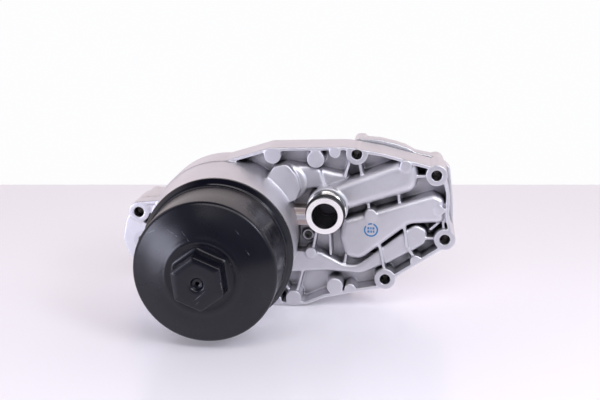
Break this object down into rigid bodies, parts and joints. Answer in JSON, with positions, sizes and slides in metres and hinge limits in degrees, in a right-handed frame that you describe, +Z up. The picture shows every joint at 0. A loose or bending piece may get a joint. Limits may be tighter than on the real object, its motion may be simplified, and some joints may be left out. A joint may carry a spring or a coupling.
{
  "type": "engine oil cooler",
  "caption": "Engine oil cooler module: cast aluminium housing with a screw-capped filter bowl, cooler jacket, coolant pipe and bolt lugs for the engine block.",
  "frame": {"origin": "centre of the oil outlet on the engine face, on the axis of the filter bowl", "axes": "+X to the right seen from the cap side, +Y into the engine, +Z up"},
  "size_m": [0.2944, 0.1941, 0.1405],
  "materials": {
    "cast_housing": "sand-blasted die casting",
    "cast_jacket": "die casting",
    "turned_pipe": "turned",
    "zinc_steel": "zinc plated",
    "cooler_core": "brazed sheet",
    "cap_plastic": "satin glass-filled nylon",
    "valve_plastic": "glass-filled nylon",
    "filter_paper": "resin-treated pleated paper",
    "plate_felt": "pressed fleece",
    "seal_rubber": "matt",
    "gasket_sheet": "coated steel sheet",
    "spring_steel": "drawn wire"
  },
  "bodies": {
    "housing": {"housing": "cast_housing", "jacket": "cast_jacket", "housing_gasket": "gasket_sheet", "oil_outlet_seal": "seal_rubber", "oil_inlet_seal": "seal_rubber", "coolant_inlet_seal": "seal_rubber", "joint_screws": "zinc_steel", "dowel_sleeves": "zinc_steel", "coolant_pipe": "turned_pipe", "pipe_o_ring": "seal_rubber", "gallery_plug": "zinc_steel", "cooler_plate_stack": "cooler_core", "cooler_base_plate": "cooler_core", "cooler_port_seals": "seal_rubber", "cooler_screws": "zinc_steel", "standpipe": "valve_plastic", "check_valve_seat": "zinc_steel", "check_valve_guide": "valve_plastic", "check_valve_spring": "spring_steel"},
    "element": {"element_media": "filter_paper", "element_rear_plate": "plate_felt", "element_seal": "seal_rubber", "element_front_plate": "valve_plastic", "support_cage": "valve_plastic", "bypass_valve_cup": "valve_plastic", "bypass_valve_spring": "spring_steel"},
    "cap": {"filter_cap": "cap_plastic", "cap_o_ring": "seal_rubber"},
    "bypass_valve": {"bypass_valve_disc": "valve_plastic"},
    "check_valve": {"check_valve_disc": "valve_plastic"}
  },
  "joints": [
    {"name": "element_slide", "type": "slide", "parent": "housing", "child": "element", "axis": [0, -1, 0], "range_m": [0, 0.012]},
    {"name": "cap_turn", "type": "hinge", "parent": "element", "child": "cap", "pos_m": [0, -0.115, 0], "axis": [0, -1, 0], "range_deg": [0, 1080]},
    {"name": "bypass_valve_slide", "type": "slide", "parent": "element", "child": "bypass_valve", "axis": [0, 1, 0], "range_m": [0, 0.005], "stiffness_N_per_m": 1000, "springref_m": -0.02, "deforming": ["bypass_valve_spring"]},
    {"name": "check_valve_slide", "type": "slide", "parent": "housing", "child": "check_valve", "axis": [0, -1, 0], "range_m": [0, 0.004], "stiffness_N_per_m": 300, "springref_m": -0.01, "deforming": ["check_valve_spring"]}
  ],
  "couplings": [
    {"joint": "element_slide", "follows": "cap_turn", "m_per_rad": 0.0006366}
  ]
}
